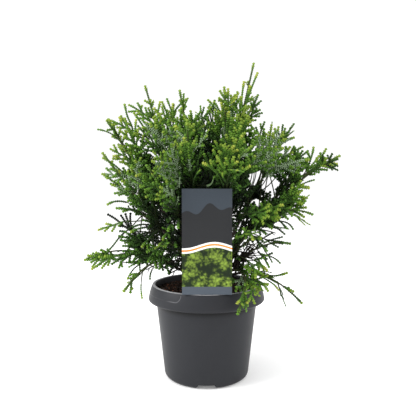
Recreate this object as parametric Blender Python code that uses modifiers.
"""Potted hiba arborvitae: a low conifer of many boughs, in soil, in a round nursery pot with a plant label.

Metres, +Z up. The origin is the middle of the pot's underside, on the ground. +X is the plant's right hand
side and -Y is its front, where the label stands. Azimuths are in degrees, from +X towards +Y.
"""

import math
import random

import bmesh
import bpy
import numpy as np
from mathutils import Matrix

CLEARANCE = 0.0003  # between two pieces that touch
TURN_WELD = 0.00005  # merge distances of turned pieces, of curves made meshes and of fused masses
CAP_WELD = 0.00002
FUSED_WELD = 0.000002

# The pot is turned. The skirt hangs from its lip, and a foot ring and a middle pad carry it.
POT_HEIGHT = 0.156
LIP_RADIUS = 0.092
LIP_THICK = 0.0018
LIP_EASE = 0.0008  # the lip's outer edge is eased by this
WALL_THICK = 0.0016
WALL_TOP_RADIUS = 0.0886
BASE_RADIUS = 0.0716
BASE_ROUND = 0.008
FOOT_HEIGHT = 0.0075
FOOT_INNER_RADIUS = 0.0585
FLOOR_THICK = 0.002
FOOT_DRAFT = 0.001  # how far the foot's and the pad's sides slope
PAD_RADIUS = 0.018
SKIRT_RADIUS = 0.0985
SKIRT_WIDEST_HEIGHT = 0.1320
SKIRT_FOOT_RADIUS = 0.0945
SKIRT_FOOT_HEIGHT = 0.1285
SKIRT_THICK = 0.0015
ROUNDING_DEGREES = (0, 30, 60, 90)
TURN_STEPS = 40

# Drain notches through the foot ring, the first one at the front.
NOTCHES = 3
NOTCH_HEIGHT = 0.007
NOTCH_WIDTH_LOW = 0.038
NOTCH_WIDTH_HIGH = 0.025
NOTCH_LENGTH = 0.05
NOTCH_BELOW = 0.001

# The label is a flat card whose tongue goes down through a slot in the lip, in front of the wall.
LABEL_X = 0.001
LABEL_Y = -0.0896
LABEL_WIDTH = 0.076
LABEL_HEIGHT = 0.161
LABEL_THICK = 0.0008
TONGUE_WIDTH = 0.018
TONGUE_LENGTH = 0.022
TONGUE_TAPER = 0.7
SLOT_WIDTH = 0.020
SLOT_THICK = 0.0016
LABEL_SIDE_ROOM = 0.004  # how far foliage stays from the card's outline
LABEL_BACK_ROOM = 0.004

# The soil fills the pot to a little below the lip, flat round the trunk and slumped near the wall.
SOIL_HEIGHT = 0.149
SOIL_FLAT_RADIUS = 0.030
SOIL_SLUMP = 0.003
SOIL_SHOULDER = 0.8  # of the pot's radius, where the slump starts in earnest
SHOULDER_SLUMP = 0.3  # of the whole slump

# The short trunk, from its flat cut on the soil to the fork.
TRUNK_FOOT = np.array([-0.003, 0.004, SOIL_HEIGHT + CLEARANCE])
TRUNK_FORK = np.array([0.004, 0.002, 0.206])
FLARE_RADIUS = 0.0150
TRUNK_RADIUS = 0.0105
FORK_RADIUS = 0.0072
FLARE_HEIGHT = 0.006
FLARE_FALL = 3.0  # how much of the flare is gone at its height
TRUNK_STEPS = (0.0, 0.003, 0.007, 0.013, 0.025, 0.042)  # sections above its foot

# Limbs taper from the trunk to their tips. A bough is the first share of a limb, its mass's stem the rest.
LIMB_ROOT_RADIUS = 0.0028
LIMB_TIP_RADIUS = 0.0010
LEADER_THICKER = 1.35  # the leader's root against the other limbs'
LIMB_ROOT_CLEARANCE = 0.0005  # a root's flat end leans a little against the trunk's side
LIMB_ROOT_RUN = 0.020  # how far a limb keeps going straight out of the trunk
BOUGH_SHARE = 0.40
LIMB_SAMPLES = 60
HEADING_SHARE = 0.02  # of a limb, on either side of where its heading is read
END_STRAIGHT = 0.0015  # the stretch at each end of a bough, and at a stem's foot, that is kept straight
BOUGH_POINTS = 6
BOUGH_CROWDING = 1.5  # brings a bough's points together at the trunk, where it bends most
STEM_POINTS = 6

# Sprays leave a stem by turns round it. Each is a twig that carries one flat toothed blade.
SPRAYS = 6
SPRAY_FIRST = 0.06
SPRAY_LAST = 0.80
SPRAY_LENGTH = 0.088
SPRAY_TAPER = 0.50  # how much shorter the last spray is than the first
SPRAY_LEAN = 50  # degrees between a spray and its stem
LEAN_CHANCE = 8
LENGTH_CHANCE = 0.15
SPRAY_TURN = 137.5
SIDE_GUIDE = np.array([0.3, 0.1, 1.0])  # the turns round a stem are counted from the level side of this
TWIG_GUIDE = np.array([0.31, 0.17, 0.93])
SPRAY_TRIES = (1.0, 0.8, 0.64, 0.5)
SPRAY_CLEAR_START = 0.006  # of a spray, next to its stem, isn't tested for room
FACE_OUT = 0.06  # the smaller, the more a spray low and near the axis faces outwards
FACE_UP = 0.7
FACE_CHANCE = 0.5
TIP_SPRAY_LENGTH = 0.060
TWIG_RADIUS = 0.0012
TWIG_SHARE = 0.34  # of its spray's length
BLADE_FIRST = 0.14  # where on a spray its blade starts
BLADE_THICK = 0.0022
RIB_WIDTH = 0.0075  # of a blade between its teeth, at its root
RIB_SUNK = 0.001  # how far a blade starts back from its root
TEETH = 3
TOOTH_FIRST = 0.10  # where on a blade its first tooth starts
TOOTH_STEP = 0.24
TOOTH_BASE = 0.36  # of a blade's length
TOOTH_LEAN = 42
TOOTH_LENGTH = 0.70  # of the blade that is left beyond the tooth's root
TOOTH_HALF = 0.0025
TOOTH_END = 0.98  # of a blade, past which no tooth's root reaches
TOOTH_APART = 0.001  # from one tooth's root to the next, for the rib to show between them
OWN_SPACE_MARGIN = 0.0008
PLACES_ALONG = 7  # where a straight piece is tested
TRUNK_PLACES = 20
HEART = np.array([0.0, 0.0, 0.24])  # the tips of the limbs are the crown's furthest points from here
OUTLINE_FALL = 3.5  # how fast the outline falls off to the sides of a tip
OUTLINE_LEAST = 0.74
OUTLINE_EASE = 0.0001  # lets a limb's own tip count as inside
LOWEST_TIP = 0.124
SEED = 20

# Heights on the trunk of the rings that the boughs leave from. The leader goes on from the fork.
RING_HEIGHTS = {"low": 0.1600, "mid": 0.1705, "high": 0.1810, "crest": 0.1915, "top": 0.2000}

# One row for each bough and its mass: the ring it leaves, its name, the azimuth, reach and height of its
# tip, how far the limb arches above the straight line to the tip and how far it bows to its left, both as
# shares of that line, and how long its sprays are against SPRAY_LENGTH.
LIMBS = (
    ("low", "left_low", -175, 0.204, 0.198, 0.34, 0.00, 0.42),
    ("low", "left_drape", -158, 0.142, 0.153, 0.72, 0.05, 0.50),
    ("low", "right_low", 3, 0.144, 0.222, 0.30, 0.00, 0.90),
    ("low", "right_drape", -18, 0.161, 0.133, 0.43, 0.00, 0.55),
    ("low", "front_drape", -70, 0.133, 0.136, 0.66, 0.60, 0.60),
    ("low", "back_low_left", 110, 0.155, 0.205, 0.45, 0.00, 0.90),
    ("low", "back_low_right", 72, 0.152, 0.205, 0.45, 0.00, 0.90),
    ("mid", "left_sweep", -168, 0.150, 0.285, 0.33, -0.06, 0.80),
    ("mid", "right_reach", -4, 0.221, 0.371, 0.18, 0.00, 0.85),
    ("mid", "front_low_left", -119, 0.142, 0.236, 0.30, -0.10, 0.90),
    ("mid", "front_low_right", -57, 0.146, 0.246, 0.25, 0.14, 0.90),
    ("mid", "back_mid", 95, 0.172, 0.290, 0.15, 0.05, 1.00),
    ("high", "right_fan", -22, 0.178, 0.277, 0.43, 0.00, 0.75),
    ("high", "left_shoulder", -162, 0.172, 0.373, -0.06, 0.05, 1.00),
    ("high", "left_mid", 168, 0.186, 0.340, 0.12, 0.00, 0.95),
    ("high", "front_left", -124, 0.152, 0.351, 0.10, 0.00, 1.00),
    ("high", "front_right", -67, 0.150, 0.372, 0.36, -0.04, 1.00),
    ("high", "back_left", 124, 0.176, 0.365, -0.05, -0.06, 1.00),
    ("high", "back_right", 60, 0.176, 0.372, 0.10, 0.06, 1.00),
    ("crest", "left_upper", 178, 0.167, 0.434, -0.06, -0.05, 1.00),
    ("crest", "front_top", -106, 0.103, 0.413, 0.06, -0.06, 1.00),
    ("crest", "right_shoulder", 18, 0.164, 0.432, 0.08, -0.05, 1.00),
    ("crest", "back_upper", 92, 0.125, 0.440, -0.05, 0.07, 1.00),
    ("top", "crest_left", -156, 0.048, 0.477, 0.00, 0.06, 0.95),
    ("top", "left_crest", 163, 0.112, 0.495, -0.05, 0.04, 0.90),
    ("top", "crest_back", 80, 0.052, 0.462, 0.00, -0.05, 1.00),
    ("top", "crest_right", -47, 0.042, 0.480, 0.00, 0.08, 0.95),
    ("fork", "leader", 1, 0.079, 0.526, -0.04, 0.03, 0.62),
)


def unit(vector):
    return vector / np.linalg.norm(vector)


def outward(azimuth):
    """The level direction of an azimuth in degrees."""
    angle = math.radians(azimuth)
    return np.array([math.cos(angle), math.sin(angle), 0.0])


def turned_about(vector, axis, degrees):
    """The vector turned about a unit axis."""
    angle = math.radians(degrees)
    along = axis * np.dot(axis, vector)
    across = vector - along
    return along + across * math.cos(angle) + np.cross(axis, across) * math.sin(angle)


def clear_scene():
    for obj in list(bpy.data.objects):
        bpy.data.objects.remove(obj, do_unlink=True)


def new_collection(name):
    made = bpy.data.collections.new(name)
    bpy.context.scene.collection.children.link(made)
    return made


def new_material(name, colour, roughness):
    made = bpy.data.materials.new(name)
    made.use_nodes = True
    shader = made.node_tree.nodes["Principled BSDF"]
    shader.inputs["Base Color"].default_value = (*colour, 1.0)
    shader.inputs["Roughness"].default_value = roughness
    shader.inputs["Metallic"].default_value = 0.0
    made.diffuse_color = (*colour, 1.0)
    return made


def mesh_object(name, bm, material, collection):
    mesh = bpy.data.meshes.new(name)
    bm.to_mesh(mesh)
    bm.free()
    if material:
        mesh.materials.append(material)
    made = bpy.data.objects.new(name, mesh)
    collection.objects.link(made)
    return made


def turned(name, profile, material, collection):
    """A half section of (radius, height) points, turned about Z. It runs down the outer side."""
    bm = bmesh.new()
    points = [bm.verts.new((radius, 0.0, height)) for radius, height in profile]
    for first, second in zip(points, points[1:]):
        bm.edges.new((first, second))
    made = mesh_object(name, bm, material, collection)
    screw = made.modifiers.new("turn", "SCREW")
    screw.angle = math.tau
    screw.steps = TURN_STEPS
    screw.render_steps = TURN_STEPS
    screw.use_smooth_shade = True
    screw.use_merge_vertices = True
    screw.merge_threshold = TURN_WELD
    return made


def cut(target, cutter):
    boolean = target.modifiers.new("cut", "BOOLEAN")
    boolean.operation = "DIFFERENCE"
    boolean.solver = "EXACT"
    boolean.object = cutter
    cutter.hide_render = True
    cutter.display_type = "WIRE"


def tube(name, points, radii, sides, material, collection):
    """A tapering limb along the points, with an even number of sides and filled caps."""
    curve = bpy.data.curves.new(name, "CURVE")
    curve.dimensions = "3D"
    curve.bevel_depth = 1.0
    curve.bevel_resolution = (sides - 4) // 2
    curve.use_fill_caps = True
    spline = curve.splines.new("POLY")
    spline.points.add(len(points) - 1)
    for place, point, radius in zip(spline.points, points, radii):
        place.co = (*point, 1.0)
        place.radius = radius
    curve.materials.append(material)
    made = bpy.data.objects.new(name, curve)
    collection.objects.link(made)
    return made


def flat_outline(name, outline, thickness, material, collection):
    """A flat plate of this outline, in the XY plane of its object."""
    curve = bpy.data.curves.new(name, "CURVE")
    curve.dimensions = "2D"
    curve.fill_mode = "BOTH"
    curve.extrude = thickness / 2
    spline = curve.splines.new("POLY")
    spline.points.add(len(outline) - 1)
    for place, (across, up) in zip(spline.points, outline):
        place.co = (across, up, 0.0, 1.0)
    spline.use_cyclic_u = True
    if material:
        curve.materials.append(material)
    made = bpy.data.objects.new(name, curve)
    collection.objects.link(made)
    return made


def as_meshes(curves, collection):
    """The curve objects made meshes, with their caps welded on."""
    bpy.context.view_layer.update()
    graph = bpy.context.evaluated_depsgraph_get()
    found = []
    for obj in curves:
        mesh = bpy.data.meshes.new_from_object(obj.evaluated_get(graph))
        bm = bmesh.new()
        bm.from_mesh(mesh)
        bmesh.ops.remove_doubles(bm, verts=bm.verts, dist=CAP_WELD)
        bm.to_mesh(mesh)
        bm.free()
        found.append((obj.name, mesh, obj.matrix_world.copy()))
    for obj in curves:
        bpy.data.objects.remove(obj, do_unlink=True)
    made = []
    for name, mesh, place in found:
        solid = bpy.data.objects.new(name, mesh)
        solid.matrix_world = place
        collection.objects.link(solid)
        made.append(solid)
    return made


def wall_radius(height):
    """Outer radius of the pot's wall."""
    share = (height - BASE_ROUND) / (POT_HEIGHT - LIP_THICK - BASE_ROUND)
    return BASE_RADIUS + share * (WALL_TOP_RADIUS - BASE_RADIUS)


def pot_profile():
    floor_top = FOOT_HEIGHT + FLOOR_THICK
    shelf = POT_HEIGHT - LIP_THICK
    skirt_top_radius = LIP_RADIUS + LIP_EASE
    inside = [
        (0.0, floor_top),
        (wall_radius(floor_top) - WALL_THICK, floor_top),
        (wall_radius(POT_HEIGHT) - WALL_THICK, POT_HEIGHT),
    ]
    lip = [(LIP_RADIUS - LIP_EASE, POT_HEIGHT), (LIP_RADIUS, POT_HEIGHT - LIP_EASE)]
    curl_width = SKIRT_RADIUS - SKIRT_FOOT_RADIUS
    curl_height = SKIRT_WIDEST_HEIGHT - SKIRT_FOOT_HEIGHT
    skirt = []
    for degrees in ROUNDING_DEGREES:
        angle = math.radians(degrees)
        radius = SKIRT_FOOT_RADIUS + curl_width * math.cos(angle)
        skirt.append((radius, SKIRT_WIDEST_HEIGHT - curl_height * math.sin(angle)))
    skirt_back = [
        (SKIRT_FOOT_RADIUS, SKIRT_FOOT_HEIGHT + SKIRT_THICK),
        (SKIRT_RADIUS - SKIRT_THICK, SKIRT_WIDEST_HEIGHT),
        (skirt_top_radius - SKIRT_THICK, shelf),
    ]
    foot = []
    for degrees in ROUNDING_DEGREES:
        angle = math.radians(degrees)
        radius = BASE_RADIUS - BASE_ROUND + BASE_ROUND * math.cos(angle)
        foot.append((radius, BASE_ROUND - BASE_ROUND * math.sin(angle)))
    under = [
        (FOOT_INNER_RADIUS, 0.0),
        (FOOT_INNER_RADIUS - FOOT_DRAFT, FOOT_HEIGHT),
        (PAD_RADIUS + FOOT_DRAFT, FOOT_HEIGHT),
        (PAD_RADIUS, 0.0),
        (0.0, 0.0),
    ]
    wall = [(wall_radius(shelf), shelf)]
    return inside + lip + skirt + skirt_back + wall + foot + under


def notch_cutter(number, collection):
    """A block across the foot ring with sides that lean together towards its top."""
    bm = bmesh.new()
    bmesh.ops.create_cube(bm, size=1.0)
    for vert in bm.verts:
        high = vert.co.z > 0
        width = NOTCH_WIDTH_HIGH if high else NOTCH_WIDTH_LOW
        vert.co.x *= width
        vert.co.y = vert.co.y * NOTCH_LENGTH - BASE_RADIUS
        vert.co.z = NOTCH_HEIGHT if high else -NOTCH_BELOW
    cutter = mesh_object(f"notch_{number}", bm, None, collection)
    cutter.rotation_euler = (0.0, 0.0, math.tau * number / NOTCHES)
    return cutter


def slot_cutter(collection):
    bm = bmesh.new()
    bmesh.ops.create_cube(bm, size=1.0)
    for vert in bm.verts:
        vert.co.x *= SLOT_WIDTH
        vert.co.y *= SLOT_THICK
        vert.co.z *= 3 * LIP_THICK
    cutter = mesh_object("slot", bm, None, collection)
    cutter.location = (LABEL_X, LABEL_Y, POT_HEIGHT - LIP_THICK / 2)
    return cutter


def make_pot(material, collection, cutters):
    pot = turned("pot", pot_profile(), material, collection)
    for number in range(NOTCHES):
        cut(pot, notch_cutter(number, cutters))
    cut(pot, slot_cutter(cutters))


def make_soil(material, collection):
    bottom = FOOT_HEIGHT + FLOOR_THICK + CLEARANCE
    edge_height = SOIL_HEIGHT - SOIL_SLUMP
    inset = WALL_THICK + 2 * CLEARANCE
    profile = [
        (0.0, SOIL_HEIGHT),
        (SOIL_FLAT_RADIUS, SOIL_HEIGHT),
        (SOIL_SHOULDER * wall_radius(edge_height), SOIL_HEIGHT - SHOULDER_SLUMP * SOIL_SLUMP),
        (wall_radius(edge_height) - inset, edge_height),
        (wall_radius(bottom) - inset, bottom),
        (0.0, bottom),
    ]
    turned("soil", profile, material, collection)


def make_label(material, collection):
    """The card and its tongue, one flat outline."""
    card_foot = POT_HEIGHT + CLEARANCE
    half = LABEL_WIDTH / 2
    tongue = TONGUE_WIDTH / 2
    outline = [
        (-half, LABEL_HEIGHT),
        (-half, 0.0),
        (-tongue, 0.0),
        (-TONGUE_TAPER * tongue, -TONGUE_LENGTH),
        (TONGUE_TAPER * tongue, -TONGUE_LENGTH),
        (tongue, 0.0),
        (half, 0.0),
        (half, LABEL_HEIGHT),
    ]
    label = flat_outline("plant_label", outline, LABEL_THICK, material, collection)
    label.location = (LABEL_X, LABEL_Y, card_foot)
    label.rotation_euler = (math.pi / 2, 0.0, 0.0)


def trunk_axis(height):
    share = (height - TRUNK_FOOT[2]) / (TRUNK_FORK[2] - TRUNK_FOOT[2])
    return TRUNK_FOOT + share * (TRUNK_FORK - TRUNK_FOOT)


def trunk_radius(height):
    above = height - TRUNK_FOOT[2]
    share = above / (TRUNK_FORK[2] - TRUNK_FOOT[2])
    flare = (FLARE_RADIUS - TRUNK_RADIUS) * math.exp(-FLARE_FALL * above / FLARE_HEIGHT)
    return TRUNK_RADIUS + share * (FORK_RADIUS - TRUNK_RADIUS) + flare


def make_trunk(material, collection):
    """It stands straight up as far as its first step, so that its cut is level, and then leans."""
    heights = [*(TRUNK_FOOT[2] + step for step in TRUNK_STEPS), TRUNK_FORK[2]]
    points = [trunk_axis(height) for height in heights]
    points[1][:2] = points[0][:2]
    tube("trunk", points, [trunk_radius(height) for height in heights], 12, material, collection)


class Limb:
    """One limb: the curve from the trunk to a tip, shared by a bough and the stem of its mass."""

    def __init__(self, row, root_azimuth):
        self.ring, self.name, azimuth, reach, height, arch, bow, self.spread = row
        self.tip = outward(azimuth) * reach + np.array([0.0, 0.0, height])
        if self.ring == "fork":
            first = TRUNK_FORK + np.array([0.0, 0.0, CLEARANCE])
            start = np.array([0.0, 0.0, 1.0])
        else:
            ring_height = RING_HEIGHTS[self.ring]
            start = outward(root_azimuth)
            first = trunk_axis(ring_height) + start * (trunk_radius(ring_height) + LIMB_ROOT_CLEARANCE)
        chord = self.tip - first
        length = np.linalg.norm(chord)
        left = unit(np.cross([0.0, 0.0, 1.0], chord))
        bend = first + 0.5 * chord + length * (arch * np.array([0.0, 0.0, 1.0]) + bow * left)
        controls = (first, first + start * LIMB_ROOT_RUN, bend, self.tip)
        self.points = bezier(controls, LIMB_SAMPLES)
        steps = np.linalg.norm(np.diff(self.points, axis=0), axis=1)
        self.travel = np.concatenate([[0.0], np.cumsum(steps)])
        self.length = self.travel[-1]
        self.random = random.Random(f"{SEED} {self.name}")

    def at(self, share):
        """The point at this share of the limb's length."""
        travel = share * self.length
        return np.array([np.interp(travel, self.travel, self.points[:, axis]) for axis in range(3)])

    def heading(self, share):
        low = max(0.0, share - HEADING_SHARE)
        high = min(1.0, share + HEADING_SHARE)
        return unit(self.at(high) - self.at(low))

    def radius(self, share):
        root = LIMB_ROOT_RADIUS * (LEADER_THICKER if self.ring == "fork" else 1.0)
        return root + share * (LIMB_TIP_RADIUS - root)

    def run(self, shares):
        """Points and radii at these shares."""
        return [self.at(share) for share in shares], [self.radius(share) for share in shares]


def bezier(controls, count):
    first, second, third, last = controls
    t = np.linspace(0.0, 1.0, count)[:, None]
    return (1 - t) ** 3 * first + 3 * t * (1 - t) ** 2 * second + 3 * t**2 * (1 - t) * third + t**3 * last


def grow_limbs():
    """Each ring's roots are spread evenly round the trunk, in the order of their tips."""
    limbs = []
    for ring in [*RING_HEIGHTS, "fork"]:
        rows = sorted((row for row in LIMBS if row[0] == ring), key=lambda row: row[2])
        step = 360 / len(rows)
        offsets = [math.radians(row[2] - number * step) for number, row in enumerate(rows)]
        middle = math.degrees(math.atan2(sum(map(math.sin, offsets)), sum(map(math.cos, offsets))))
        for number, row in enumerate(rows):
            limbs.append(Limb(row, middle + number * step))
    return limbs


class Room:
    """Says where a mass may grow: nearer to its own stem than to any other, inside the crown's outline,
    and clear of all limbs, the trunk, the pot and the label."""

    def __init__(self, limbs):
        stems = []
        boughs = []
        shares = np.linspace(0.0, 1.0, LIMB_SAMPLES)
        for number, limb in enumerate(limbs):
            for share in shares:
                if share >= BOUGH_SHARE:
                    stems.append((*limb.at(share), number))
                else:
                    boughs.append((*limb.at(share), limb.radius(share)))
        for height in np.linspace(TRUNK_FOOT[2], TRUNK_FORK[2], TRUNK_PLACES):
            boughs.append((*trunk_axis(height), trunk_radius(height)))
        self.stems = np.array(stems)
        self.boughs = np.array(boughs)
        self.tips = [limb.tip - HEART for limb in limbs]

    def holds(self, owner, start, end, radius):
        """Whether a straight piece of this radius fits in the owner's space."""
        if end[2] < LOWEST_TIP or self.past_outline(owner, end):
            return False
        places = start + np.linspace(0.0, 1.0, PLACES_ALONG)[:, None] * (end - start)
        apart = np.linalg.norm(places[:, None] - self.stems[None, :, :3], axis=2)
        own = self.stems[:, 3] == owner
        nearest_own = apart[:, own].min(axis=1)
        nearest_other = apart[:, ~own].min(axis=1)
        if (nearest_other - nearest_own < 2 * (radius + OWN_SPACE_MARGIN)).any():
            return False
        from_boughs = np.linalg.norm(places[:, None] - self.boughs[None, :, :3], axis=2)
        if (from_boughs - self.boughs[:, 3] < radius + OWN_SPACE_MARGIN).any():
            return False
        return not (self.in_pot(places, radius) | self.at_label(places, radius)).any()

    def past_outline(self, owner, place):
        """Whether a place is further from the heart than the outline, which falls off round each tip."""
        tip = self.tips[owner]
        reach = np.linalg.norm(tip)
        apart = np.linalg.norm(place - HEART)
        facing = np.dot(place - HEART, tip) / (apart * reach)
        return apart > reach * max(OUTLINE_LEAST, 1 - OUTLINE_FALL * (1 - facing)) + OUTLINE_EASE

    @staticmethod
    def in_pot(places, radius):
        room = radius + OWN_SPACE_MARGIN
        level = np.hypot(places[:, 0], places[:, 1])
        return (places[:, 2] < POT_HEIGHT + room) & (level < SKIRT_RADIUS + room)

    @staticmethod
    def at_label(places, radius):
        """The card, the space in front of it and a margin round it."""
        side = LABEL_WIDTH / 2 + LABEL_SIDE_ROOM + radius
        top = POT_HEIGHT + LABEL_HEIGHT + LABEL_SIDE_ROOM + radius
        back = LABEL_Y + LABEL_BACK_ROOM + radius
        return (abs(places[:, 0] - LABEL_X) < side) & (places[:, 2] < top) & (places[:, 1] < back)


def flat_side(axis, place, chance):
    """The way a spray's flat side faces: up and out of the plant, at right angles to its axis."""
    wish = unit(np.array([place[0], place[1], FACE_OUT])) + np.array([0.0, 0.0, FACE_UP])
    wish = wish + FACE_CHANCE * np.array([chance.uniform(-1, 1) for _ in range(3)])
    return unit(wish - axis * np.dot(axis, wish))


def sprays_of(limb):
    """(start, axis, length, flat side) of each spray on a limb's stem, from its foot to its tip."""
    chance = limb.random
    roll = chance.uniform(0, 360)
    found = []
    for number in range(SPRAYS):
        share_of_stem = SPRAY_FIRST + (SPRAY_LAST - SPRAY_FIRST) * number / (SPRAYS - 1)
        share = BOUGH_SHARE + (1 - BOUGH_SHARE) * share_of_stem
        start = limb.at(share)
        heading = limb.heading(share)
        level = unit(np.cross(heading, SIDE_GUIDE))
        aside = turned_about(level, heading, roll + number * SPRAY_TURN)
        lean = math.radians(SPRAY_LEAN + chance.uniform(-LEAN_CHANCE, LEAN_CHANCE))
        axis = unit(heading * math.cos(lean) + aside * math.sin(lean))
        length = limb.spread * SPRAY_LENGTH * (1 - SPRAY_TAPER * share_of_stem)
        length *= chance.uniform(1 - LENGTH_CHANCE, 1 + LENGTH_CHANCE)
        found.append((start, axis, length, flat_side(axis, start, chance)))
    return found


def twig(start, end, collection):
    """A three-sided twig that tapers to half its radius."""
    length = np.linalg.norm(end - start)
    bm = bmesh.new()
    bmesh.ops.create_cone(
        bm, cap_ends=True, segments=3, radius1=TWIG_RADIUS, radius2=TWIG_RADIUS / 2, depth=length
    )
    axis = unit(end - start)
    side = unit(np.cross(axis, TWIG_GUIDE))
    bm.transform(placed(side, np.cross(axis, side), axis, (start + end) / 2))
    return mesh_object("twig", bm, None, collection)


def placed(x_axis, y_axis, z_axis, centre):
    """The matrix that puts a shape's axes and middle there."""
    matrix = np.identity(4)
    matrix[:3, 0] = x_axis
    matrix[:3, 1] = y_axis
    matrix[:3, 2] = z_axis
    matrix[:3, 3] = centre
    return Matrix(matrix.tolist())


def blade(number, start, axis, length, face, room, collection):
    """A flat blade with teeth by turns on either side, each left out where it doesn't fit."""
    across = np.cross(axis, face)
    edges = {1: [], -1: []}
    for tooth in range(TEETH):
        side = 1 if tooth % 2 else -1
        low = TOOTH_FIRST + tooth * TOOTH_STEP
        high = min(low + TOOTH_BASE, TOOTH_END)
        reach = TOOTH_LENGTH * (1 - low) * length
        tip_across = side * reach * math.sin(math.radians(TOOTH_LEAN))
        tip_along = (low + high) / 2 * length + reach * math.cos(math.radians(TOOTH_LEAN))
        root = start + axis * (low + high) / 2 * length
        tip = start + axis * tip_along + across * tip_across
        if not room.holds(number, root, tip, TOOTH_HALF):
            continue
        outline = edges[side]
        root_across = side * RIB_WIDTH / 2 * (1 - low)
        if not outline or outline[-1][1] < low * length - TOOTH_APART:
            outline.append((root_across, low * length))
        outline.append((tip_across, tip_along))
        outline.append((side * RIB_WIDTH / 2 * (1 - high), high * length))
    foot = RIB_WIDTH / 2
    outline = [(-foot, -RIB_SUNK), *edges[-1], (0.0, length), *reversed(edges[1]), (foot, -RIB_SUNK)]
    made = flat_outline("blade", outline, BLADE_THICK, None, collection)
    made.matrix_world = placed(across, axis, np.cross(across, axis), start)
    return made


def pieces_of(number, limb, room, collection):
    """The twigs and blades of one mass that keep to its space."""
    root = limb.at(1 - TIP_SPRAY_LENGTH / limb.length)
    axis = unit(limb.tip - root)
    face = flat_side(axis, limb.tip, limb.random)
    blades = [blade(number, root, axis, np.linalg.norm(limb.tip - root), face, room, collection)]
    twigs = []
    for start, axis, full_length, face in sprays_of(limb):
        for share in SPRAY_TRIES:
            length = full_length * share
            if room.holds(number, start + axis * SPRAY_CLEAR_START, start + axis * length, TOOTH_HALF):
                break
        else:
            continue
        twigs.append(twig(start, start + axis * length * TWIG_SHARE, collection))
        root = start + axis * length * BLADE_FIRST
        blades.append(blade(number, root, axis, length * (1 - BLADE_FIRST), face, room, collection))
    return twigs + as_meshes(blades, collection)


def largest_body(mesh):
    """Drops loose scraps and the walls of sealed hollows, so that one outer skin is left."""
    bm = bmesh.new()
    bm.from_mesh(mesh)
    bmesh.ops.remove_doubles(bm, verts=bm.verts, dist=FUSED_WELD)
    bmesh.ops.triangulate(bm, faces=bm.faces)
    left = set(bm.faces)
    bodies = []
    while left:
        body = set()
        edge_of_body = [left.pop()]
        while edge_of_body:
            face = edge_of_body.pop()
            body.add(face)
            for edge in face.edges:
                for other in edge.link_faces:
                    if other in left:
                        left.discard(other)
                        edge_of_body.append(other)
        bodies.append(body)
    keep = max(bodies, key=len)
    bmesh.ops.delete(bm, geom=[face for face in bm.faces if face not in keep], context="FACES")
    bm.to_mesh(mesh)
    bm.free()


def fuse(target, pieces, group):
    """Joins the pieces to the target by one union, and removes them."""
    union = target.modifiers.new("fuse", "BOOLEAN")
    union.operation = "UNION"
    union.operand_type = "COLLECTION"
    union.collection = group
    union.solver = "MANIFOLD"
    bpy.context.view_layer.update()
    graph = bpy.context.evaluated_depsgraph_get()
    mesh = bpy.data.meshes.new_from_object(target.evaluated_get(graph))
    target.modifiers.clear()
    target.data = mesh
    for piece in pieces:
        bpy.data.objects.remove(piece, do_unlink=True)
    bpy.data.collections.remove(group)
    largest_body(target.data)


def make_bough(limb, material, collection):
    straight = END_STRAIGHT / limb.length
    shares = BOUGH_SHARE * np.linspace(0.0, 1.0, BOUGH_POINTS) ** BOUGH_CROWDING
    points, radii = limb.run(sorted([*shares, straight, BOUGH_SHARE - straight]))
    tube(f"bough_{limb.name}", points, radii, 6, material, collection)


def make_mass(number, limb, room, material, collection):
    stem_foot = BOUGH_SHARE + CLEARANCE / limb.length
    stem_end = 1 - 0.5 * TIP_SPRAY_LENGTH / limb.length
    shares = np.linspace(stem_foot, stem_end, STEM_POINTS)
    points, radii = limb.run(sorted([*shares, stem_foot + END_STRAIGHT / limb.length]))
    stem = tube(f"mass_{limb.name}", points, radii, 4, material, collection)
    (stem,) = as_meshes([stem], collection)
    group = new_collection(f"pieces_{limb.name}")
    fuse(stem, pieces_of(number, limb, room, group), group)


def main():
    clear_scene()
    plant = new_collection("potted_hiba_arborvitae")
    cutters = new_collection("cutters")
    make_pot(new_material("pot_plastic", (0.055, 0.057, 0.062), 0.45), plant, cutters)
    make_soil(new_material("peat", (0.030, 0.017, 0.011), 0.95), plant)
    make_label(new_material("label_card", (0.060, 0.075, 0.090), 0.35), plant)
    bark = new_material("bark", (0.075, 0.045, 0.030), 0.85)
    make_trunk(bark, plant)
    limbs = grow_limbs()
    room = Room(limbs)
    foliage = new_material("foliage", (0.060, 0.170, 0.025), 0.55)
    for number, limb in enumerate(limbs):
        make_bough(limb, bark, plant)
        make_mass(number, limb, room, foliage, plant)


main()
